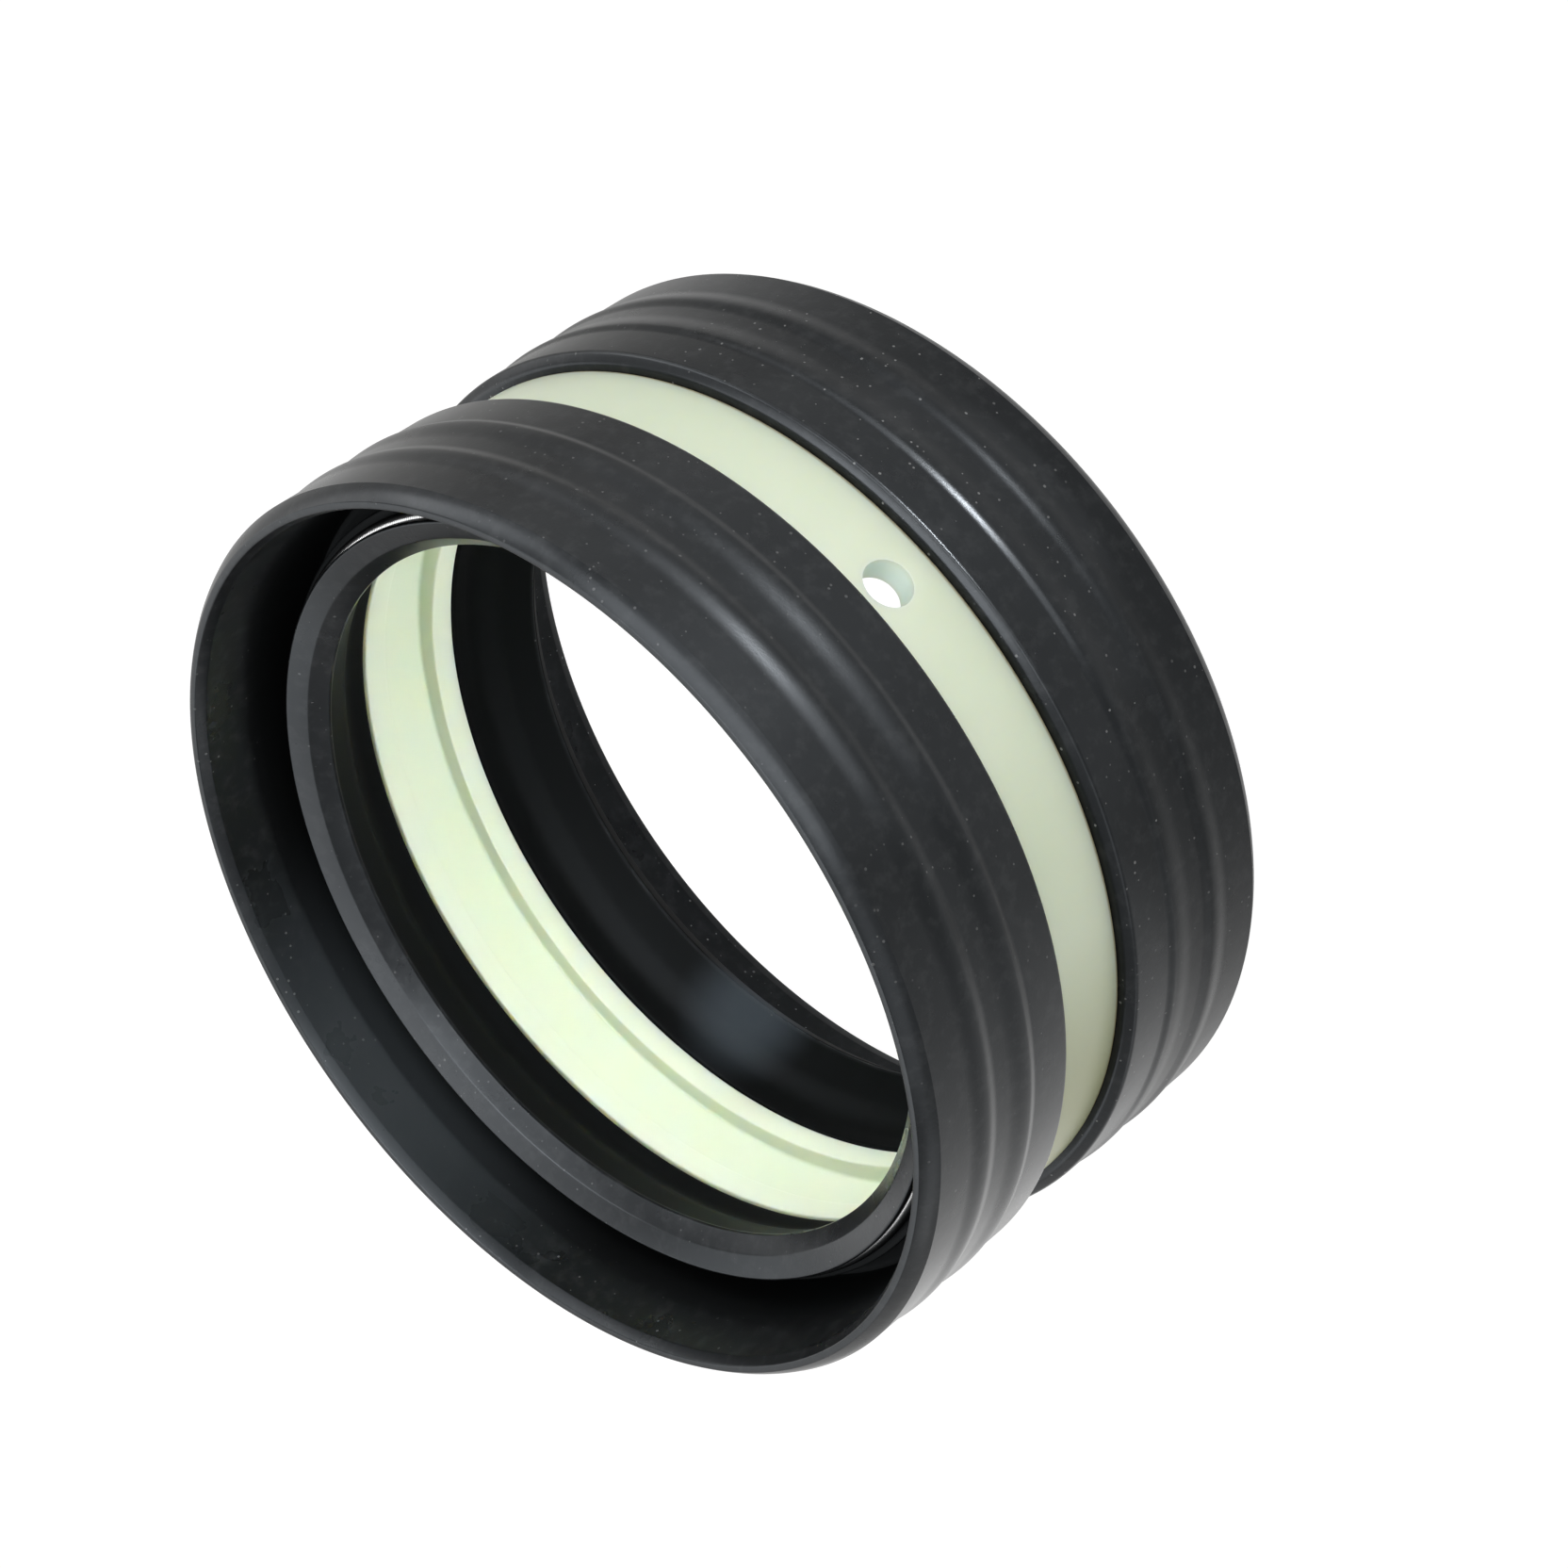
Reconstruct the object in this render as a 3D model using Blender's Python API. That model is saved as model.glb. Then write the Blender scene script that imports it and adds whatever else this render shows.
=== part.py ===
"""Double oil seal set: two spring-loaded rubber lip seals, open sides outwards, on a drilled spacer.

Metres, +Z up. The set stands on its end. The origin is the centre of the lower end, and the
shaft's axis is +Z. The spacer's oil hole looks along -Y.
"""

import math

import bmesh
import bpy

# Driving dimensions: the fits
HOUSING_RADIUS = 0.0700
SHAFT_LIP_RADIUS = 0.0549
SEAL_WIDTH = 0.0295
SPACER_GAP = 0.0135

# Open rim of a seal
RIM_OUTER_RADIUS = 0.0683
RIM_INNER_RADIUS = 0.0673
RIM_BEVEL = 0.0022
RIM_INNER_BEVEL = 0.0017

# Outer sealing ribs, by their depth below the rim
RIB_DEPTHS = (0.0082, 0.0162)
RIB_WIDTH = 0.0058
RIB_HEIGHT = 0.0004
RIB_CREST = 0.66

# Heel, where a seal meets the spacer
HEEL_BEVEL_DEPTH = 0.0014
HEEL_BEVEL_LENGTH = 0.0009
HEEL_BORE_RADIUS = 0.0600
REBATE_RADIUS = 0.0638
REBATE_LENGTH = 0.0025

# Cavity between the outer leg and the lip
CAVITY_WALL_TOP_RADIUS = 0.0666
CAVITY_WALL_FOOT_RADIUS = 0.0656
CAVITY_DEPTH = 0.0210
CAVITY_FILLET = 0.0010

# Lip head, by radius and by depth below the rim
LIP_DEPTH = 0.0149
LIP_EDGE = 0.0002
LIP_FACE_INNER_RADIUS = 0.0569
LIP_FACE_INNER_DEPTH = 0.0125
NIB_RADIUS = 0.0602
NIB_DEPTH = 0.0110
NIB_ROUND = 0.0003
SHOULDER_RADIUS = 0.0623
SHOULDER_DEPTH = 0.0145
NECK_OUTER_RADIUS = 0.0609
NECK_OUTER_DEPTH = 0.0176
NECK_INNER_RADIUS = 0.0573
NECK_INNER_DEPTH = 0.0203
HEEL_BORE_DEPTH = 0.0228

# Garter spring, coiled round the lip head
SPRING_RADIUS = 0.0600
SPRING_DEPTH = 0.0134
COIL_RADIUS = 0.00115
SPRING_SIDES = 8
SEAT_END = 50.0  # degrees from the outward radius, on the side away from the rim

# Spacer ring: a web between the heels, with a spigot into each and a channel inside
SPACER_OUTER_RADIUS = 0.0675
SPACER_WEB_RADIUS = 0.0630
SPACER_BORE_RADIUS = 0.0600
SPIGOT_WIDTH = 0.0040
SPACER_EDGE = 0.0003
OIL_HOLE_RADIUS = 0.0036
OIL_HOLE_RISE = 0.0012

CLEARANCE = 0.0003
SEGMENTS = 60
TOTAL_HEIGHT = 2 * SEAL_WIDTH + SPACER_GAP
MIDDLE = TOTAL_HEIGHT / 2


def clear_scene():
    for obj in list(bpy.data.objects):
        bpy.data.objects.remove(obj, do_unlink=True)


def make_material(name, colour, roughness, metallic=0.0):
    material = bpy.data.materials.new(name)
    material.use_nodes = True
    shader = material.node_tree.nodes["Principled BSDF"]
    shader.inputs["Base Color"].default_value = (*colour, 1.0)
    shader.inputs["Roughness"].default_value = roughness
    shader.inputs["Metallic"].default_value = metallic
    return material


def arc(centre, radius, start, end, steps):
    """Points on an arc in the section plane, angles in degrees from the outward radius to depth."""
    turns = [math.radians(start + (end - start) * i / steps) for i in range(steps + 1)]
    return [(centre[0] + radius * math.cos(t), centre[1] + radius * math.sin(t)) for t in turns]


def rib(start):
    """One outer rib: a slow rise from the rim side, a round crest and a steeper heel side."""
    crest = start + RIB_WIDTH * RIB_CREST
    end = start + RIB_WIDTH
    rise = [(HOUSING_RADIUS + RIB_HEIGHT * (1 - math.cos(math.pi * share)) / 2,
             start + (crest - start) * share) for share in (0.0, 0.35, 0.65, 1.0)]
    fall = [(HOUSING_RADIUS + RIB_HEIGHT * (1 + math.cos(math.pi * share)) / 2,
             crest + (end - crest) * share) for share in (0.5, 1.0)]
    return rise + fall


def outer_leg():
    """From the rim down the outer side to the heel."""
    points = [
        (RIM_INNER_RADIUS, 0.0),
        (RIM_OUTER_RADIUS, 0.0),
        (HOUSING_RADIUS - 0.12 * RIM_BEVEL, 0.80 * RIM_BEVEL),
        (HOUSING_RADIUS, 1.15 * RIM_BEVEL),
    ]
    for depth in RIB_DEPTHS:
        points += rib(depth)
    return points + [
        (HOUSING_RADIUS, SEAL_WIDTH - HEEL_BEVEL_LENGTH),
        (HOUSING_RADIUS - HEEL_BEVEL_DEPTH, SEAL_WIDTH),
    ]


def heel_bore():
    """Round the rebate that takes the spacer's spigot, and up the bore to the sealing edge."""
    rebate_floor = SEAL_WIDTH - REBATE_LENGTH
    return [
        (REBATE_RADIUS, SEAL_WIDTH),
        (REBATE_RADIUS, rebate_floor),
        (HEEL_BORE_RADIUS, rebate_floor),
        (HEEL_BORE_RADIUS, HEEL_BORE_DEPTH),
        (NECK_INNER_RADIUS, NECK_INNER_DEPTH),
        (SHAFT_LIP_RADIUS, LIP_DEPTH + LIP_EDGE),
        (SHAFT_LIP_RADIUS, LIP_DEPTH - LIP_EDGE),
    ]


def lip_head():
    """Over the lip's face, the nib, the spring's seat and the shoulder behind it."""
    nib = (NIB_RADIUS - NIB_ROUND, NIB_DEPTH + NIB_ROUND)
    seat = COIL_RADIUS + CLEARANCE
    mouth = math.degrees(math.acos((NIB_RADIUS - SPRING_RADIUS) / seat))
    points = [(LIP_FACE_INNER_RADIUS, LIP_FACE_INNER_DEPTH)]
    points += arc(nib, NIB_ROUND, -100, 0, 2)
    points += arc((SPRING_RADIUS, SPRING_DEPTH), seat, -mouth, SEAT_END - 360, 6)
    return points + [
        (SHOULDER_RADIUS, SHOULDER_DEPTH),
        (SHOULDER_RADIUS, SHOULDER_DEPTH + LIP_EDGE * 3),
        (NECK_OUTER_RADIUS, NECK_OUTER_DEPTH),
    ]


def cavity():
    """Round the floor of the cavity and up the inside of the outer leg."""
    fillet_depth = CAVITY_DEPTH - CAVITY_FILLET
    neck_foot = (NECK_OUTER_RADIUS + CAVITY_FILLET, fillet_depth)
    wall_foot = (CAVITY_WALL_FOOT_RADIUS - CAVITY_FILLET, fillet_depth)
    points = arc(neck_foot, CAVITY_FILLET, 180, 90, 2)
    points += arc(wall_foot, CAVITY_FILLET, 90, 0, 2)
    return points + [(CAVITY_WALL_TOP_RADIUS, RIM_INNER_BEVEL)]


def seal_section():
    """A seal's half section as (radius, depth below the rim), outer side first."""
    return outer_leg() + heel_bore() + lip_head() + cavity()


def spacer_section():
    """The spacer's half section as (radius, height), down its outer side and up its bore."""
    half_web = SPACER_GAP / 2 - CLEARANCE
    half_bore = SPACER_GAP / 2 + REBATE_LENGTH - CLEARANCE
    spigot_radius = REBATE_RADIUS - CLEARANCE
    half_channel = half_bore - SPIGOT_WIDTH
    upper = [
        (SPACER_BORE_RADIUS, half_channel),
        (SPACER_BORE_RADIUS, half_bore),
        (spigot_radius, half_bore),
        (spigot_radius, half_web),
        (SPACER_OUTER_RADIUS - SPACER_EDGE, half_web),
        (SPACER_OUTER_RADIUS, half_web - SPACER_EDGE),
    ]
    lower = [(radius, -height) for radius, height in reversed(upper)]
    channel = [(SPACER_WEB_RADIUS, -half_channel), (SPACER_WEB_RADIUS, half_channel)]
    return [(radius, MIDDLE + height) for radius, height in upper + lower + channel]


def turned(name, section, material):
    """A ring turned about +Z from a closed (radius, height) section that runs down its outer side."""
    mesh = bpy.data.meshes.new(name)
    build = bmesh.new()
    corners = [build.verts.new((radius, 0.0, height)) for radius, height in section]
    for first, second in zip(corners, corners[1:] + corners[:1]):
        build.edges.new((first, second))
    build.to_mesh(mesh)
    build.free()
    mesh.materials.append(material)
    obj = bpy.data.objects.new(name, mesh)
    bpy.context.scene.collection.objects.link(obj)
    screw = obj.modifiers.new("Turn", "SCREW")
    screw.axis = "Z"
    screw.angle = math.tau
    screw.steps = SEGMENTS
    screw.render_steps = SEGMENTS
    screw.use_smooth_shade = True
    return obj


def upper_heights(section):
    """The section of the seal whose open rim is the top of the set."""
    return [(radius, TOTAL_HEIGHT - depth) for radius, depth in section]


def lower_heights(section):
    """The same section turned over, for the seal that the set stands on."""
    return [(radius, depth) for radius, depth in reversed(section)]


def spring_section(height):
    """The round outline that the spring's coils fill."""
    turns = [-math.tau * i / SPRING_SIDES for i in range(SPRING_SIDES)]
    return [(SPRING_RADIUS + COIL_RADIUS * math.cos(t), height + COIL_RADIUS * math.sin(t))
            for t in turns]


def drill_oil_hole(spacer):
    """One radial hole through the web, towards -Y."""
    cutter_length = 4 * (SPACER_OUTER_RADIUS - SPACER_WEB_RADIUS)
    bpy.ops.mesh.primitive_cylinder_add(
        vertices=24,
        radius=OIL_HOLE_RADIUS,
        depth=cutter_length,
        location=(0.0, -(SPACER_OUTER_RADIUS + SPACER_WEB_RADIUS) / 2, MIDDLE + OIL_HOLE_RISE),
        rotation=(math.pi / 2, 0.0, 0.0),
    )
    cutter = bpy.context.object
    cutter.name = "oil_hole_cutter"
    cutter.hide_render = True
    cutter.display_type = "WIRE"
    cut = spacer.modifiers.new("Oil hole", "BOOLEAN")
    cut.operation = "DIFFERENCE"
    cut.object = cutter


def main():
    clear_scene()
    rubber = make_material("black nitrile rubber", (0.040, 0.042, 0.044), 0.50)
    nylon = make_material("pale green nylon", (0.66, 0.76, 0.58), 0.40)
    steel = make_material("spring steel", (0.62, 0.61, 0.60), 0.28, 1.0)

    section = seal_section()
    turned("upper_seal", upper_heights(section), rubber)
    turned("lower_seal", lower_heights(section), rubber)
    spacer = turned("spacer_ring", spacer_section(), nylon)
    drill_oil_hole(spacer)
    turned("upper_garter_spring", spring_section(TOTAL_HEIGHT - SPRING_DEPTH), steel)
    turned("lower_garter_spring", spring_section(SPRING_DEPTH), steel)


main()
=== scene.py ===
"""Looks of the double oil seal set: matt rubber, pale nylon and wound steel springs on a white floor."""

import math

import bmesh
import bpy
import numpy as np
from mathutils import Matrix, Vector


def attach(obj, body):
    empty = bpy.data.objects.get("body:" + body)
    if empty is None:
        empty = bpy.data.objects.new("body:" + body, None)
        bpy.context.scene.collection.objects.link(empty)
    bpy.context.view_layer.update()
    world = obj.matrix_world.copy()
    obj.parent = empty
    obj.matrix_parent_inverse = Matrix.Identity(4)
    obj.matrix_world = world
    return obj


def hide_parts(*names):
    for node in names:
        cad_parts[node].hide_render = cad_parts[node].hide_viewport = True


# The frame's own sizes, in metres
HOUSING_RADIUS = 0.0700
SHAFT_LIP_RADIUS = 0.0549
SEAL_WIDTH = 0.0295
SPACER_GAP = 0.0135
TOTAL_HEIGHT = 2 * SEAL_WIDTH + SPACER_GAP
MIDDLE = TOTAL_HEIGHT / 2
RIB_DEPTHS = (0.0082, 0.0162)
RIB_WIDTH = 0.0058
RIB_HEIGHT = 0.0004
RIB_CRESTS = (0.60, 0.70)
SPRING_RADIUS = 0.0600
SPRING_DEPTH = 0.0134
COIL_RADIUS = 0.00115
SEAT_RADIUS = 0.00145
CLEARANCE = 0.0003
SPACER_REST = 0.00005  # left between the spacer's web and each heel
REBATE_RADIUS = 0.0638
REBATE_LENGTH = 0.0025
SPACER_OUTER_RADIUS = 0.0675
SPACER_WEB_RADIUS = 0.0630
SPACER_BORE_RADIUS = 0.0600
SPIGOT_WIDTH = 0.0040
OIL_HOLE_RADIUS = 0.0036
OIL_HOLE_RISE = 0.0012

# Open rim and heel of a seal, and its lip head, as (radius, depth below the rim)
RIM_INNER_RADIUS = 0.0673
RIM_OUTER_RADIUS = 0.0683
RIM_FACETS = ((0.0689, 0.00066), (0.06934, 0.00122), (0.0697, 0.0018), (HOUSING_RADIUS, 0.0024))
HEEL_BEVEL_DEPTH = 0.0014
HEEL_BEVEL_LENGTH = 0.0009
HEEL_BORE = (0.0600, 0.0228)
NECK_INNER = (0.0573, 0.0203)
LIP_DEPTH = 0.0149
LIP_EDGE = 0.0002
LIP_FACE_INNER = (0.0569, 0.0125)
NIB_FRONT = (0.05985, 0.0110)
NIB_RADIUS = 0.0602
NIB_BACK_DEPTH = 0.0112
SHOULDER_RADIUS = 0.0623
SHOULDER_DEPTHS = (0.0145, 0.0151)
NECK_OUTER = (0.0609, 0.0176)
CAVITY_DEPTH = 0.0210
CAVITY_WALL_FOOT_RADIUS = 0.0656
CAVITY_WALL_TOP = (0.0666, 0.0017)

# Where shade is painted: in the bore inside the first radius, in the cavities out to the second
BORE_LIMIT_RADIUS = 0.0606
CAVITY_LIMIT_RADIUS = 0.0670

# Colours, as linear red, green and blue
RUBBER_BLACK = (0.0040, 0.0045, 0.0050)
RUBBER_CLOUD = (0.0056, 0.0063, 0.0070)
RUBBER_HAZE = (0.0150, 0.0160, 0.0170)
# Painted shade for the rubber deep in the cavities and the bore
RUBBER_PAINTED_SHADE = (0.0010, 0.0012, 0.0010)
# Painted sheen: a pale bluish patch seen inside the bore
RUBBER_PAINTED_SHEEN = (0.032, 0.039, 0.047)
# Painted light: a paler patch on the upper seal's cavity wall
RUBBER_PAINTED_WALL_LIGHT = (0.022, 0.026, 0.029)
RUBBER_GLOSS_TINT = (0.86, 0.93, 1.0)
DUST = (0.55, 0.56, 0.57)
NYLON_GREEN = (0.690, 0.775, 0.610)
NYLON_CLOUD = (0.715, 0.790, 0.640)
# Painted shade: a darker, browner tone round one side of the spacer
NYLON_PAINTED_SHADE = (0.420, 0.450, 0.275)
# Painted light: the wall of the oil hole paler than the nylon round it
NYLON_PAINTED_HOLE_LIGHT = (0.80, 0.93, 0.86)
# Painted shade: a thin yellow-brown band where the spacer meets each seal's heel
NYLON_PAINTED_EDGE_SHADE = (0.34, 0.26, 0.09)
STEEL_GREY = (0.20, 0.20, 0.20)
FLOOR_GREY = (0.86, 0.86, 0.86)
ROOM_LIGHT = (1.0, 0.97, 0.90)
COOL_LIGHT = (0.92, 0.97, 1.0)
WHITE = (1.0, 1.0, 1.0)

# Places where light or shade is painted into the colour: a sheen in the bore, a lit cavity wall, a
# shaded end of the spacer and the lit wall of the oil hole
BORE_PAINTED_SHEEN = (-0.0180, 0.0525, 0.0168)
PAINTED_WALL_LIGHT = (0.0090, 0.0655, 0.0680)
PAINTED_SHADE_END = (-0.0668, -0.0094, MIDDLE)
OIL_HOLE = (0.0, -0.0652, MIDDLE + OIL_HOLE_RISE)

# How finely the visible pieces are turned
SEAL_SEGMENTS = 288
SPACER_SEGMENTS = 240
ROUNDING_STEPS = 4
RISE_STEPS = 9
FALL_STEPS = 8
SEAT_STEPS = 16
SEAT_END = -310  # degrees from the outward radius
SEAL_SHARP_ANGLE = 24.0
SPACER_SHARP_ANGLE = 32.0
WIRE_SHARP_ANGLE = 180.0
DRILL_SIDES = 64
DRILL_LENGTH = 0.018
WIRE_RADIUS = 0.000205
WIRE_TURNS = 876
WIRE_STEPS = 14
WIRE_SIDES = 6

# The camera, at the photograph's angle
LENS_MM = 93.493
EYE = Vector((-0.082623, -0.467993, 0.365498))
EYE_RIGHT = Vector((-0.659996, -0.367151, -0.655443))
EYE_UP = Vector((0.738414, -0.477729, -0.475941))
EYE_BACK = EYE_RIGHT.cross(EYE_UP).normalized()

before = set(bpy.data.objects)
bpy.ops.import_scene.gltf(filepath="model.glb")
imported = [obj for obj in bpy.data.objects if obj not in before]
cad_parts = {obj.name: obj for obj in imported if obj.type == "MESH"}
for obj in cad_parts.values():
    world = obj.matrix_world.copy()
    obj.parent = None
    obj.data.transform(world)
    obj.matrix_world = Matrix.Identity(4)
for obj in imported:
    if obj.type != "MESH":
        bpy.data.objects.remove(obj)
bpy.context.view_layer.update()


# Materials

def new_material(name):
    material = bpy.data.materials.new(name)
    material.use_nodes = True
    tree = material.node_tree
    return material, tree, tree.nodes["Principled BSDF"]


def add(tree, kind, **settings):
    node = tree.nodes.new(kind)
    for key, value in settings.items():
        if key in node.inputs:
            node.inputs[key].default_value = value
        else:
            setattr(node, key, value)
    return node


def math_node(tree, operation, first, second=None):
    node = tree.nodes.new("ShaderNodeMath")
    node.operation = operation
    for slot, value in enumerate((first, second)):
        if value is None:
            continue
        if isinstance(value, (int, float)):
            node.inputs[slot].default_value = value
        else:
            tree.links.new(value, node.inputs[slot])
    return node.outputs[0]


def ramp(tree, value, low, high):
    """0 below low and 1 above high, smooth between."""
    node = tree.nodes.new("ShaderNodeMapRange")
    node.interpolation_type = "SMOOTHSTEP"
    tree.links.new(value, node.inputs["Value"])
    node.inputs["From Min"].default_value = low
    node.inputs["From Max"].default_value = high
    return node.outputs["Result"]


def noise(tree, place, scale, detail=2.0, roughness=0.5):
    node = add(tree, "ShaderNodeTexNoise", Scale=scale, Detail=detail, Roughness=roughness)
    tree.links.new(place, node.inputs["Vector"])
    return node.outputs["Fac"]


def mix_colour(tree, share, first, second):
    node = tree.nodes.new("ShaderNodeMix")
    node.data_type = "RGBA"
    tree.links.new(share, node.inputs[0])
    for slot, value in ((6, first), (7, second)):
        if isinstance(value, tuple):
            node.inputs[slot].default_value = (*value, 1.0)
        else:
            tree.links.new(value, node.inputs[slot])
    return node.outputs[2]


def specks(tree, place, scale, radius, share, seed, hollow=0.0):
    """Small round specks or rings: one in some of the cells of a grid of the given scale."""
    shift = add(tree, "ShaderNodeVectorMath", operation="ADD")
    tree.links.new(place, shift.inputs[0])
    shift.inputs[1].default_value = (seed, 2 * seed, 3 * seed)
    cells = add(tree, "ShaderNodeTexVoronoi", Scale=scale)
    tree.links.new(shift.outputs[0], cells.inputs["Vector"])
    split = tree.nodes.new("ShaderNodeSeparateColor")
    tree.links.new(cells.outputs["Color"], split.inputs[0])
    size = math_node(tree, "MULTIPLY", split.outputs[1], radius * scale)
    dot = math_node(tree, "LESS_THAN", cells.outputs["Distance"], size)
    if hollow:
        core = math_node(tree, "MULTIPLY", size, hollow)
        outside = math_node(tree, "GREATER_THAN", cells.outputs["Distance"], core)
        dot = math_node(tree, "MULTIPLY", dot, outside)
    chosen = math_node(tree, "LESS_THAN", split.outputs[0], share)
    return math_node(tree, "MULTIPLY", dot, chosen)


def near_to(tree, place, spot, inner, outer):
    """1 within the inner distance of a spot, falling to 0 at the outer one."""
    gap = add(tree, "ShaderNodeVectorMath", operation="DISTANCE")
    tree.links.new(place, gap.inputs[0])
    gap.inputs[1].default_value = spot
    return math_node(tree, "SUBTRACT", 1.0, ramp(tree, gap.outputs["Value"], inner, outer))


def radius_and_depth(tree, place):
    """How far a point lies from the shaft's axis, how deep below the nearer rim, and how high."""
    split = tree.nodes.new("ShaderNodeSeparateXYZ")
    tree.links.new(place, split.inputs[0])
    flat = tree.nodes.new("ShaderNodeCombineXYZ")
    tree.links.new(split.outputs[0], flat.inputs[0])
    tree.links.new(split.outputs[1], flat.inputs[1])
    reach = add(tree, "ShaderNodeVectorMath", operation="LENGTH")
    tree.links.new(flat.outputs[0], reach.inputs[0])
    from_middle = math_node(tree, "ABSOLUTE", math_node(tree, "SUBTRACT", split.outputs[2], MIDDLE))
    depth = math_node(tree, "SUBTRACT", TOTAL_HEIGHT / 2, from_middle)
    return reach.outputs["Value"], depth, split.outputs[2]


def between(tree, value, low, high):
    """1 between two limits and 0 outside them."""
    above = math_node(tree, "GREATER_THAN", value, low)
    return math_node(tree, "MULTIPLY", above, math_node(tree, "LESS_THAN", value, high))


def painted_shade_share(tree, place):
    """1 where shade is painted deep in the cavities, in the bore behind the lips and under the lower
    lip.
    """
    radius, depth, height = radius_and_depth(tree, place)
    in_cavity = between(tree, radius, BORE_LIMIT_RADIUS, CAVITY_LIMIT_RADIUS)
    cavity = math_node(tree, "MULTIPLY", in_cavity, ramp(tree, depth, 0.0070, 0.0120))
    in_bore = math_node(tree, "LESS_THAN", radius, BORE_LIMIT_RADIUS)
    bore = math_node(tree, "MULTIPLY", in_bore, ramp(tree, depth, 0.0150, 0.0156))
    under = math_node(tree, "MULTIPLY", in_bore, math_node(tree, "LESS_THAN", height, LIP_DEPTH))
    return math_node(tree, "MAXIMUM", cavity, math_node(tree, "MAXIMUM", bore, under))


def dust_share(tree, place, height):
    """Fine and coarse specks and a few rings of dried drops, thicker on the lower seal."""
    patch = ramp(tree, noise(tree, place, 38.0, 3.0, 0.6), 0.36, 0.60)
    fine = specks(tree, place, 900.0, 0.00022, 0.42, 3.1)
    coarse = specks(tree, place, 330.0, 0.00030, 0.028, 7.7)
    rings = specks(tree, place, 120.0, 0.00085, 0.040, 5.3, hollow=0.72)
    dots = math_node(tree, "MAXIMUM", math_node(tree, "MULTIPLY", fine, patch), coarse)
    dots = math_node(tree, "MULTIPLY", dots, 0.32)
    dust = math_node(tree, "MAXIMUM", dots, math_node(tree, "MULTIPLY", rings, 0.12))
    lower = math_node(tree, "MULTIPLY", math_node(tree, "LESS_THAN", height, MIDDLE), 0.55)
    return math_node(tree, "MULTIPLY", dust, math_node(tree, "ADD", 0.45, lower))


def rubber_material():
    material, tree, shader = new_material("black_nitrile_rubber")
    place = tree.nodes.new("ShaderNodeTexCoord").outputs["Object"]
    cloud = noise(tree, place, 90.0, 4.0, 0.6)
    grain = noise(tree, place, 2600.0, 2.0, 0.5)
    base = mix_colour(tree, ramp(tree, cloud, 0.35, 0.7), RUBBER_BLACK, RUBBER_CLOUD)
    radius, _, height = radius_and_depth(tree, place)
    painted_shade = painted_shade_share(tree, place)
    # Where no shade is painted, haze and dust may show
    unshaded = math_node(tree, "SUBTRACT", 1.0, painted_shade)
    haze = ramp(tree, noise(tree, place, 420.0, 3.0, 0.6), 0.45, 0.75)
    base = mix_colour(tree, math_node(tree, "MULTIPLY", haze, unshaded), base, RUBBER_HAZE)
    # Painted shade: the rubber darker deep in the cavities, in the bore and under the lower lip
    base = mix_colour(tree, math_node(tree, "MULTIPLY", painted_shade, 0.7), base, RUBBER_PAINTED_SHADE)
    # Painted sheen on the lower seal's inner wall, seen through the bore
    base = mix_colour(tree, near_to(tree, place, BORE_PAINTED_SHEEN, 0.002, 0.013), base, RUBBER_PAINTED_SHEEN)
    # Painted light: the upper seal's cavity wall paler round one spot, as if lit there
    painted_wall_light = math_node(tree, "MULTIPLY", between(tree, radius, 0.0645, 0.0672),
                     near_to(tree, place, PAINTED_WALL_LIGHT, 0.006, 0.045))
    base = mix_colour(tree, painted_wall_light, base, RUBBER_PAINTED_WALL_LIGHT)
    dust = math_node(tree, "MULTIPLY", dust_share(tree, place, height), unshaded)
    dusty = mix_colour(tree, dust, base, DUST)
    tree.links.new(dusty, shader.inputs["Base Color"])
    rough = tree.nodes.new("ShaderNodeMapRange")
    tree.links.new(cloud, rough.inputs["Value"])
    rough.inputs["To Min"].default_value = 0.25
    rough.inputs["To Max"].default_value = 0.31
    # The painted shade also makes the rubber rougher and less glossy there
    rougher = math_node(tree, "ADD", rough.outputs["Result"], math_node(tree, "MULTIPLY", painted_shade, 0.25))
    tree.links.new(rougher, shader.inputs["Roughness"])
    less = math_node(tree, "MULTIPLY", painted_shade, 0.14)
    tree.links.new(math_node(tree, "SUBTRACT", 0.19, less), shader.inputs["Specular IOR Level"])
    shader.inputs["Specular Tint"].default_value = (*RUBBER_GLOSS_TINT, 1.0)
    bump = add(tree, "ShaderNodeBump", Strength=0.07, Distance=0.00012)
    tree.links.new(grain, bump.inputs["Height"])
    tree.links.new(bump.outputs["Normal"], shader.inputs["Normal"])
    return material


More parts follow.
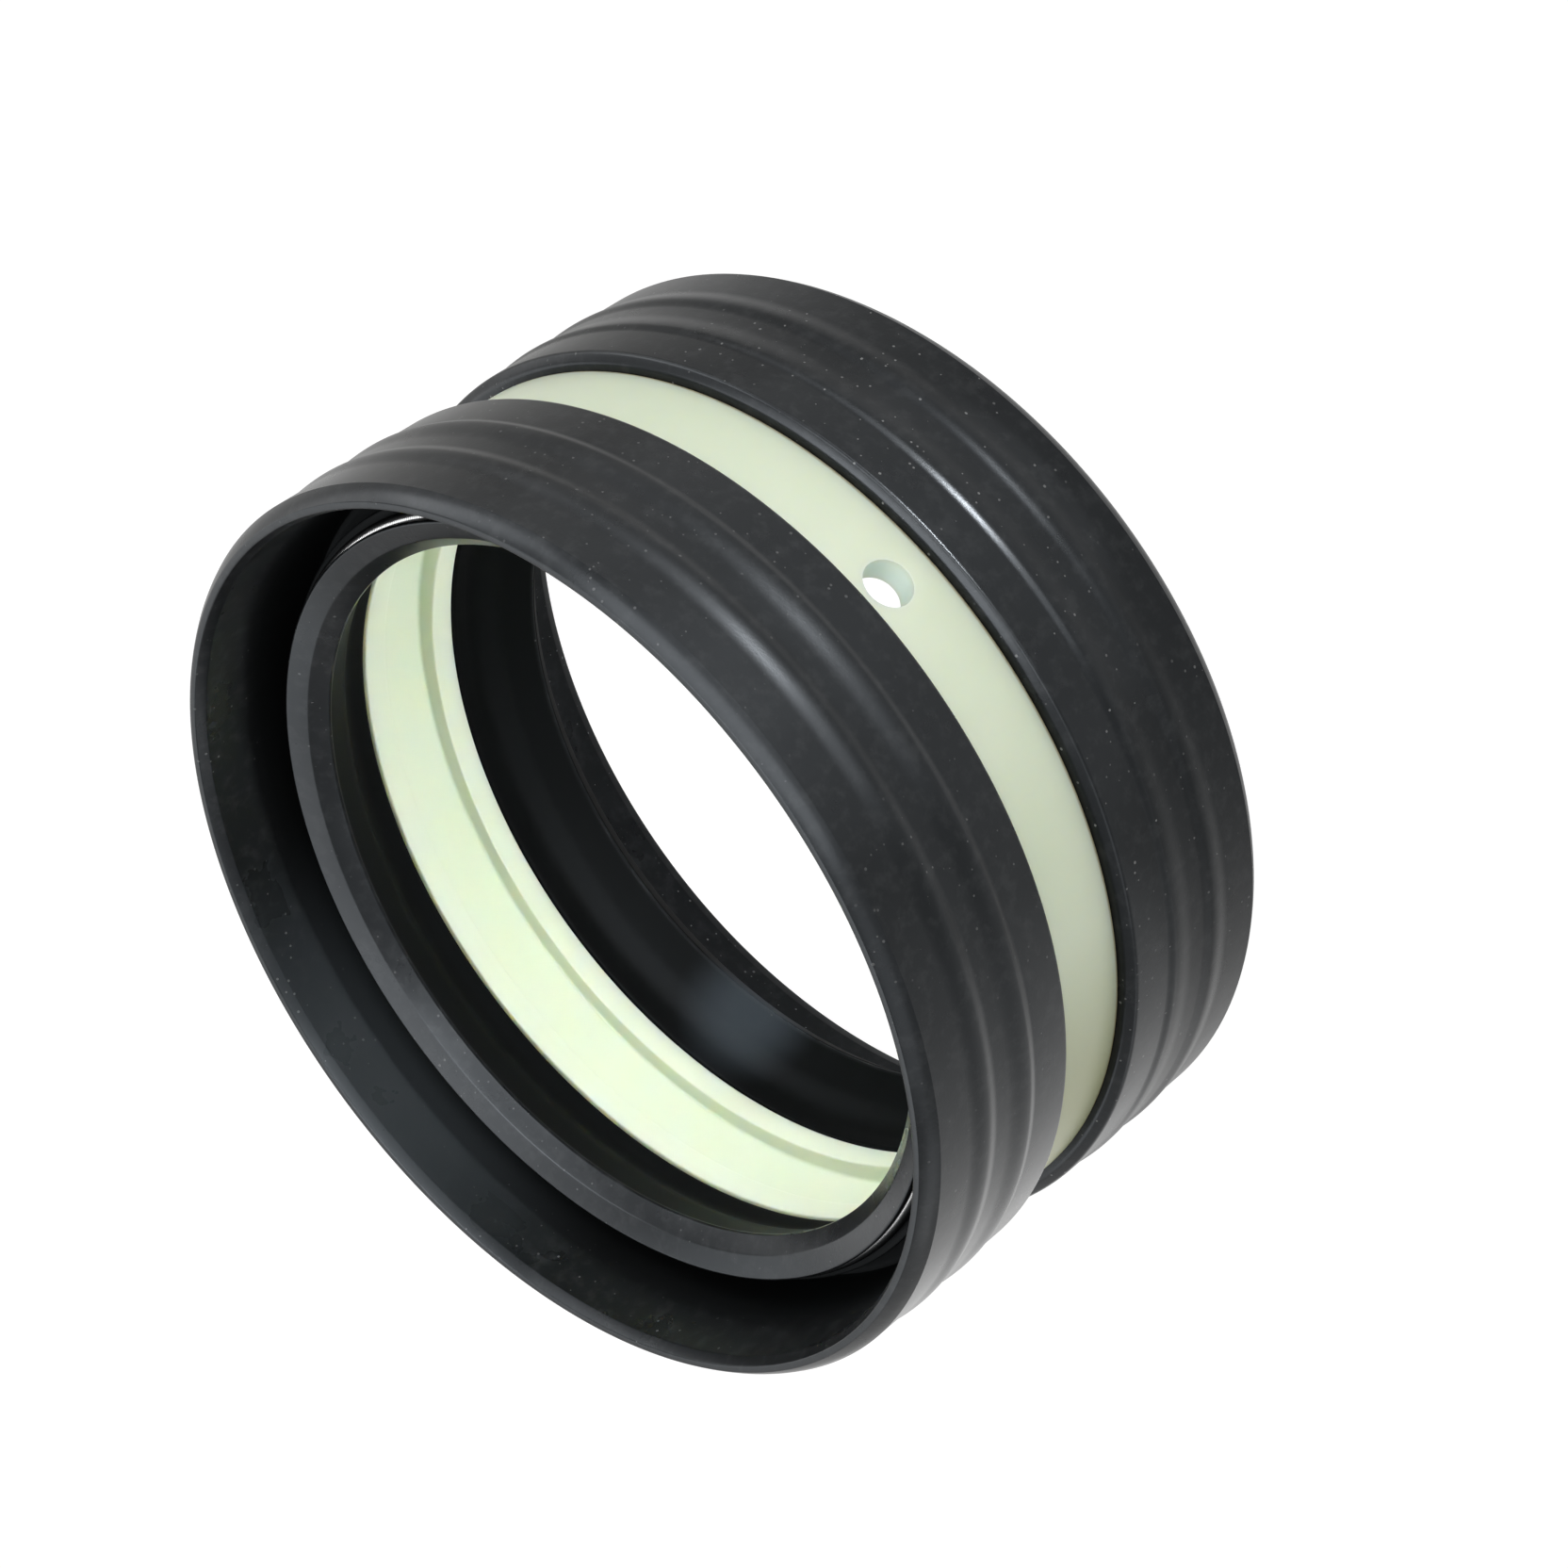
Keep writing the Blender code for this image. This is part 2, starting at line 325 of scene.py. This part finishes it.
def nylon_material():
    material, tree, shader = new_material("pale_green_nylon")
    place = tree.nodes.new("ShaderNodeTexCoord").outputs["Object"]
    cloud = ramp(tree, noise(tree, place, 45.0, 3.0), 0.3, 0.7)
    base = mix_colour(tree, cloud, NYLON_GREEN, NYLON_CLOUD)
    # Painted shade: the spacer darker and browner round one side
    painted_end_shade = near_to(tree, place, PAINTED_SHADE_END, 0.010, 0.046)
    base = mix_colour(tree, painted_end_shade, base, NYLON_PAINTED_SHADE)
    # Painted light: the oil hole's wall paler, as if lit from inside
    hole = near_to(tree, place, OIL_HOLE, OIL_HOLE_RADIUS + 0.0001, OIL_HOLE_RADIUS + 0.0010)
    base = mix_colour(tree, hole, base, NYLON_PAINTED_HOLE_LIGHT)
    radius, depth, _ = radius_and_depth(tree, place)
    # Painted shade: a thin yellow-brown band on the spacer's outer edges next to the heels
    painted_edge_shade = math_node(tree, "MULTIPLY", ramp(tree, depth, SEAL_WIDTH + 0.0007, SEAL_WIDTH + 0.0002),
                     math_node(tree, "GREATER_THAN", radius, 0.0665))
    edge_shaded = mix_colour(tree, math_node(tree, "MULTIPLY", painted_edge_shade, 0.8), base, NYLON_PAINTED_EDGE_SHADE)
    tree.links.new(edge_shaded, shader.inputs["Base Color"])
    shader.inputs["Roughness"].default_value = 0.42
    shader.inputs["Specular IOR Level"].default_value = 0.30
    shader.inputs["Subsurface Weight"].default_value = 0.7
    shader.inputs["Subsurface Radius"].default_value = (1.0, 0.85, 0.60)
    shader.inputs["Subsurface Scale"].default_value = 0.004
    return material


def steel_material():
    material, _, shader = new_material("spring_steel_wire")
    shader.inputs["Base Color"].default_value = (*STEEL_GREY, 1.0)
    shader.inputs["Metallic"].default_value = 1.0
    shader.inputs["Roughness"].default_value = 0.22
    return material


# Turned sections, as (radius, depth) or (radius, height) corners with a rounding radius each

def arc(centre, radius, start, end, steps):
    turns = [math.radians(start + (end - start) * i / steps) for i in range(steps + 1)]
    return [(centre[0] + radius * math.cos(t), centre[1] + radius * math.sin(t)) for t in turns]


def rounded(corners):
    """Replaces each (radius, depth, rounding) corner by an arc tangent to both its sides."""
    points = []
    count = len(corners)
    for i, (x, y, rounding) in enumerate(corners):
        here = Vector((x, y))
        before = Vector(corners[i - 1][:2]) - here
        after = Vector(corners[(i + 1) % count][:2]) - here
        half = before.angle(after) / 2 if rounding else 0.0
        if not rounding or half > math.radians(88):
            points.append((x, y))
            continue
        reach = min(rounding / math.tan(half), 0.48 * before.length, 0.48 * after.length)
        start = here + before.normalized() * reach
        end = here + after.normalized() * reach
        for k in range(ROUNDING_STEPS + 1):
            t = k / ROUNDING_STEPS
            curve = start * (1 - t) ** 2 + here * 2 * t * (1 - t) + end * t ** 2
            points.append((curve.x, curve.y))
    return points


def rib(start, share):
    """One outer rib: a rise from the rim side, a crest at its share of the width, and a fall."""
    crest = start + RIB_WIDTH * share
    end = start + RIB_WIDTH
    rise = [(HOUSING_RADIUS + RIB_HEIGHT * (1 - math.cos(math.pi * k / RISE_STEPS)) / 2,
             start + (crest - start) * k / RISE_STEPS, 0.0) for k in range(RISE_STEPS + 1)]
    fall = [(HOUSING_RADIUS + RIB_HEIGHT * (1 + math.cos(math.pi * k / FALL_STEPS)) / 2,
             crest + (end - crest) * k / FALL_STEPS, 0.0) for k in range(1, FALL_STEPS + 1)]
    return rise + fall


def seal_section():
    corners = [(RIM_INNER_RADIUS, 0.0, 0.0003), (RIM_OUTER_RADIUS, 0.0, 0.0003)]
    corners += [(x, y, 0.0) for x, y in RIM_FACETS]
    for depth, share in zip(RIB_DEPTHS, RIB_CRESTS):
        corners += rib(depth, share)
    corners += [
        (HOUSING_RADIUS, SEAL_WIDTH - HEEL_BEVEL_LENGTH, 0.0008),
        (HOUSING_RADIUS - HEEL_BEVEL_DEPTH, SEAL_WIDTH, 0.0015),
        (REBATE_RADIUS, SEAL_WIDTH, 0.00015),
        (REBATE_RADIUS, SEAL_WIDTH - REBATE_LENGTH, 0.0001),
        (HEEL_BORE[0], SEAL_WIDTH - REBATE_LENGTH, 0.0008),
        (*HEEL_BORE, 0.0040),
        (*NECK_INNER, 0.0050),
        (SHAFT_LIP_RADIUS, LIP_DEPTH + LIP_EDGE, 0.0001),
        (SHAFT_LIP_RADIUS, LIP_DEPTH - LIP_EDGE, 0.0001),
        (*LIP_FACE_INNER, 0.0010),
        (*NIB_FRONT, 0.0003),
        (NIB_RADIUS, NIB_BACK_DEPTH, 0.0003),
    ]
    mouth = math.degrees(math.acos((NIB_RADIUS - SPRING_RADIUS) / SEAT_RADIUS))
    seat = arc((SPRING_RADIUS, SPRING_DEPTH), SEAT_RADIUS, -mouth, SEAT_END, SEAT_STEPS)
    corners += [(x, y, 0.0) for x, y in seat]
    corners += [
        (SHOULDER_RADIUS, SHOULDER_DEPTHS[0], 0.0003),
        (SHOULDER_RADIUS, SHOULDER_DEPTHS[1], 0.0004),
        (*NECK_OUTER, 0.0015),
        (NECK_OUTER[0], CAVITY_DEPTH, 0.0012),
        (CAVITY_WALL_FOOT_RADIUS, CAVITY_DEPTH, 0.0012),
        (*CAVITY_WALL_TOP, 0.0008),
    ]
    return rounded(corners)


def spacer_section():
    half_web = SPACER_GAP / 2 - SPACER_REST
    half_bore = SPACER_GAP / 2 + REBATE_LENGTH - CLEARANCE
    half_channel = half_bore - SPIGOT_WIDTH
    upper = [
        (SPACER_BORE_RADIUS, half_channel, 0.0003),
        (SPACER_BORE_RADIUS, half_bore, 0.0003),
        (REBATE_RADIUS - CLEARANCE, half_bore, 0.0002),
        (REBATE_RADIUS - CLEARANCE, half_web, 0.0001),
        (SPACER_OUTER_RADIUS, half_web, 0.00025),
    ]
    lower = [(radius, -height, rounding) for radius, height, rounding in reversed(upper)]
    channel = [(SPACER_WEB_RADIUS, -half_channel, 0.0005), (SPACER_WEB_RADIUS, half_channel, 0.0005)]
    return [(radius, MIDDLE + height) for radius, height in rounded(upper + lower + channel)]


def link_mesh(name, vertices, faces, material, sharp):
    mesh = bpy.data.meshes.new(name)
    mesh.from_pydata(vertices, [], faces)
    build = bmesh.new()
    build.from_mesh(mesh)
    bmesh.ops.recalc_face_normals(build, faces=build.faces)
    build.to_mesh(mesh)
    build.free()
    mesh.polygons.foreach_set("use_smooth", [True] * len(mesh.polygons))
    mesh.set_sharp_from_angle(angle=math.radians(sharp))
    mesh.materials.append(material)
    obj = bpy.data.objects.new(name, mesh)
    bpy.context.scene.collection.objects.link(obj)
    return obj


def turned(name, section, segments, material, sharp):
    turns = [math.tau * i / segments for i in range(segments)]
    vertices = [(r * math.cos(t), r * math.sin(t), z) for t in turns for r, z in section]
    rows = len(section)
    faces = []
    for i in range(segments):
        here, after = i * rows, ((i + 1) % segments) * rows
        for k in range(rows):
            up = (k + 1) % rows
            faces.append((here + k, here + up, after + up, after + k))
    return link_mesh(name, vertices, faces, material, sharp)


def fix(piece, node):
    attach(piece, "root")
    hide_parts(node)


# Pieces

def coiled_spring(name, height, material, phase):
    """A garter spring: wire wound close round the ring's centre line."""
    count = WIRE_TURNS * WIRE_STEPS
    along = np.arange(count) / count * math.tau
    wind = along * WIRE_TURNS + phase
    mid = COIL_RADIUS - WIRE_RADIUS
    reach = SPRING_RADIUS + mid * np.cos(wind)
    line = np.column_stack([reach * np.cos(along), reach * np.sin(along), height + mid * np.sin(wind)])
    ahead = np.roll(line, -1, axis=0) - np.roll(line, 1, axis=0)
    ahead /= np.linalg.norm(ahead, axis=1)[:, None]
    out = np.column_stack([np.cos(wind) * np.cos(along), np.cos(wind) * np.sin(along), np.sin(wind)])
    out -= (out * ahead).sum(1)[:, None] * ahead
    out /= np.linalg.norm(out, axis=1)[:, None]
    side = np.cross(ahead, out)
    around = np.arange(WIRE_SIDES) / WIRE_SIDES * math.tau
    ring = (np.cos(around)[None, :, None] * out[:, None, :]
            + np.sin(around)[None, :, None] * side[:, None, :]) * WIRE_RADIUS
    vertices = (line[:, None, :] + ring).reshape(-1, 3)
    first = np.arange(count)[:, None] * WIRE_SIDES
    then = (np.arange(count)[:, None] + 1) % count * WIRE_SIDES
    here = np.arange(WIRE_SIDES)[None, :]
    after = (here + 1) % WIRE_SIDES
    faces = np.stack([first + here, then + here, then + after, first + after], axis=2).reshape(-1, 4)
    return link_mesh(name, vertices.tolist(), faces.tolist(), material, WIRE_SHARP_ANGLE)


def drilled_spacer(material):
    blank = turned("spacer_ring_turned", spacer_section(), SPACER_SEGMENTS, material,
                   SPACER_SHARP_ANGLE)
    bpy.ops.mesh.primitive_cylinder_add(
        vertices=DRILL_SIDES,
        radius=OIL_HOLE_RADIUS,
        depth=DRILL_LENGTH,
        location=(0.0, -(SPACER_OUTER_RADIUS + SPACER_WEB_RADIUS) / 2, MIDDLE + OIL_HOLE_RISE),
        rotation=(math.pi / 2, 0.0, 0.0),
    )
    drill = bpy.context.object
    cut = blank.modifiers.new("Oil hole", "BOOLEAN")
    cut.operation = "DIFFERENCE"
    cut.object = drill
    seen = blank.evaluated_get(bpy.context.evaluated_depsgraph_get())
    mesh = bpy.data.meshes.new_from_object(seen)
    blank.modifiers.clear()
    blank.data = mesh
    bpy.data.objects.remove(drill, do_unlink=True)
    mesh.polygons.foreach_set("use_smooth", [True] * len(mesh.polygons))
    mesh.set_sharp_from_angle(angle=math.radians(SPACER_SHARP_ANGLE))
    return blank


def build_pieces():
    rubber = rubber_material()
    nylon = nylon_material()
    steel = steel_material()
    section = seal_section()
    above = [(radius, TOTAL_HEIGHT - depth) for radius, depth in section]
    upper = turned("upper_seal_rubber", above, SEAL_SEGMENTS, rubber, SEAL_SHARP_ANGLE)
    fix(upper, "upper_seal")
    lower = turned("lower_seal_rubber", section, SEAL_SEGMENTS, rubber, SEAL_SHARP_ANGLE)
    fix(lower, "lower_seal")
    fix(drilled_spacer(nylon), "spacer_ring")
    top = coiled_spring("upper_spring_coils", TOTAL_HEIGHT - SPRING_DEPTH, steel, 0.4)
    fix(top, "upper_garter_spring")
    low = coiled_spring("lower_spring_coils", SPRING_DEPTH, steel, 1.7)
    fix(low, "lower_garter_spring")


# Stage

def seen_white(tree, to_camera, to_gloss):
    """How white the surroundings look to the camera, and in glossy or through clear things."""
    path = tree.nodes.new("ShaderNodeLightPath")
    off = math_node(tree, "MAXIMUM", path.outputs["Is Glossy Ray"], path.outputs["Is Transmission Ray"])
    off = math_node(tree, "MULTIPLY", off, to_gloss)
    direct = math_node(tree, "MULTIPLY", path.outputs["Is Camera Ray"], to_camera)
    return math_node(tree, "MAXIMUM", direct, off)


def floor_in_reflections(tree):
    """How white the floor looks in the rubber: less inside the bore and in two shades beside it."""
    place = tree.nodes.new("ShaderNodeTexCoord").outputs["Object"]
    under = math_node(tree, "MULTIPLY", near_to(tree, place, (0.0, 0.0, 0.0), 0.066, 0.071), 0.45)
    right = math_node(tree, "MULTIPLY", near_to(tree, place, (0.14, -0.03, 0.0), 0.04, 0.10), 0.36)
    left = math_node(tree, "MULTIPLY", near_to(tree, place, (-0.11, -0.10, 0.0), 0.02, 0.08), 0.22)
    shade = math_node(tree, "MAXIMUM", under, math_node(tree, "MAXIMUM", right, left))
    return math_node(tree, "SUBTRACT", 0.62, shade)


def make_floor():
    bpy.ops.mesh.primitive_plane_add(size=6.0, location=(0.0, 0.0, 0.0))
    floor = bpy.context.object
    floor.name = "floor"
    material = bpy.data.materials.new("white_floor")
    material.use_nodes = True
    tree = material.node_tree
    tree.nodes.clear()
    diffuse = add(tree, "ShaderNodeBsdfDiffuse", Color=(*FLOOR_GREY, 1.0))
    glow = add(tree, "ShaderNodeEmission", Strength=1.12)
    blend = tree.nodes.new("ShaderNodeMixShader")
    tree.links.new(seen_white(tree, 0.88, floor_in_reflections(tree)), blend.inputs[0])
    tree.links.new(diffuse.outputs[0], blend.inputs[1])
    tree.links.new(glow.outputs[0], blend.inputs[2])
    output = tree.nodes.new("ShaderNodeOutputMaterial")
    tree.links.new(blend.outputs[0], output.inputs[0])
    floor.data.materials.append(material)


def make_world():
    world = bpy.data.worlds.new("pale_room")
    world.use_nodes = True
    tree = world.node_tree
    tree.nodes.clear()
    room = add(tree, "ShaderNodeBackground", Color=(*ROOM_LIGHT, 1.0), Strength=0.38)
    white = add(tree, "ShaderNodeBackground", Color=(*WHITE, 1.0), Strength=1.0)
    blend = tree.nodes.new("ShaderNodeMixShader")
    tree.links.new(seen_white(tree, 1.0, 1.0), blend.inputs[0])
    tree.links.new(room.outputs[0], blend.inputs[1])
    tree.links.new(white.outputs[0], blend.inputs[2])
    output = tree.nodes.new("ShaderNodeOutputWorld")
    tree.links.new(blend.outputs[0], output.inputs[0])
    bpy.context.scene.world = world


def softbox(name, place, target, width, height, radiance, seen, colour=WHITE):
    """A rectangular lamp that faces a target, seen in plain light ("diffuse") or in gloss alone.

    Its power follows from how bright its face looks.
    """
    data = bpy.data.lights.new(name, "AREA")
    data.shape = "RECTANGLE"
    data.size = width
    data.size_y = height
    data.energy = math.pi * width * height * radiance
    data.color = colour
    light = bpy.data.objects.new(name, data)
    light.location = place
    light.rotation_euler = (Vector(place) - Vector(target)).to_track_quat("Z", "Y").to_euler()
    light.visible_camera = False
    light.visible_diffuse = seen != "gloss"
    light.visible_glossy = seen != "diffuse"
    bpy.context.scene.collection.objects.link(light)


def around(azimuth, elevation, distance):
    """A place at a direction and distance from the middle of the set."""
    turn, tilt = math.radians(azimuth), math.radians(elevation)
    flat = distance * math.cos(tilt)
    return (flat * math.cos(turn), flat * math.sin(turn), 0.05 + distance * math.sin(tilt))


def make_lights():
    middle = (0.0, 0.0, 0.05)
    softbox("front_softbox", around(-75.0, 22.0, 1.0), middle, 1.10, 0.50, 3.5, "diffuse")
    softbox("back_softbox", around(105.0, 24.0, 1.0), middle, 1.10, 0.50, 2.0, "diffuse")
    softbox("bore_lamp", (-0.005, -0.030, MIDDLE), (0.011, 0.062, MIDDLE),
            0.024, 0.010, 80.0, "diffuse")
    softbox("camera_side_panel", around(-80.0, 38.0, 0.9), middle, 1.20, 0.42, 8.0, "gloss")
    softbox("right_low_panel", around(-15.0, 20.0, 0.9), middle, 0.60, 0.30, 6.0, "gloss")
    softbox("left_low_panel", around(-155.0, 32.0, 0.9), middle, 0.60, 0.40, 2.0, "gloss")
    softbox("overhead_panel", (0.03, 0.02, 0.85), middle, 0.50, 0.50, 5.5, "gloss")
    softbox("front_overhead_panel", (0.14, -0.28, 0.85), middle, 0.66, 0.26, 12.0, "gloss")
    softbox("right_overhead_panel", (0.46, -0.04, 0.80), middle, 0.40, 0.32, 6.0, "gloss")
    softbox("rear_overhead_panel", (-0.03, 0.36, 0.80), middle, 0.62, 0.28, 4.0, "gloss")
    softbox("back_panel", around(80.0, 46.0, 1.0), middle, 1.30, 0.40, 2.4, "gloss", COOL_LIGHT)
    softbox("back_right_panel", around(55.0, 20.0, 1.0), middle, 0.55, 0.28, 1.8, "gloss")
    softbox("right_panel", around(15.0, 15.0, 1.0), middle, 0.60, 0.30, 1.8, "gloss")
    softbox("left_panel", around(165.0, 12.0, 1.0), middle, 0.50, 0.30, 1.8, "gloss")
    softbox("floor_card", (0.09, -0.162, 0.004), (0.09, -0.162, 0.104),
            0.34, 0.18, 0.55, "gloss")
    softbox("near_floor_card", (0.05, -0.205, 0.005), (0.05, -0.205, 0.105),
            0.30, 0.06, 1.4, "gloss")
    softbox("left_floor_card", (-0.16, 0.03, 0.004), (-0.16, 0.03, 0.104),
            0.16, 0.30, 0.6, "gloss")
    softbox("low_strip", (0.033, -0.249, 0.012), (0.0, 0.0, 0.040), 0.28, 0.030, 8.2, "gloss")
    softbox("side_strip", (0.230, -0.120, 0.012), (0.0, 0.0, 0.040), 0.26, 0.030, 4.0, "gloss")
    softbox("lamp", (0.070, -0.402, 0.030), (0.0, 0.0, 0.030), 0.080, 0.026, 460.0, "gloss")


def make_camera():
    data = bpy.data.cameras.new("camera")
    data.sensor_width = 36.0
    data.lens = LENS_MM
    data.clip_start = 0.01
    camera = bpy.data.objects.new("camera", data)
    turn = Matrix((EYE_RIGHT, EYE_UP, EYE_BACK)).transposed()
    camera.matrix_world = Matrix.Translation(EYE) @ turn.to_4x4()
    bpy.context.scene.collection.objects.link(camera)
    bpy.context.scene.camera = camera


build_pieces()
make_floor()
make_world()
make_lights()
make_camera()
bpy.context.scene.view_settings.view_transform = "Standard"
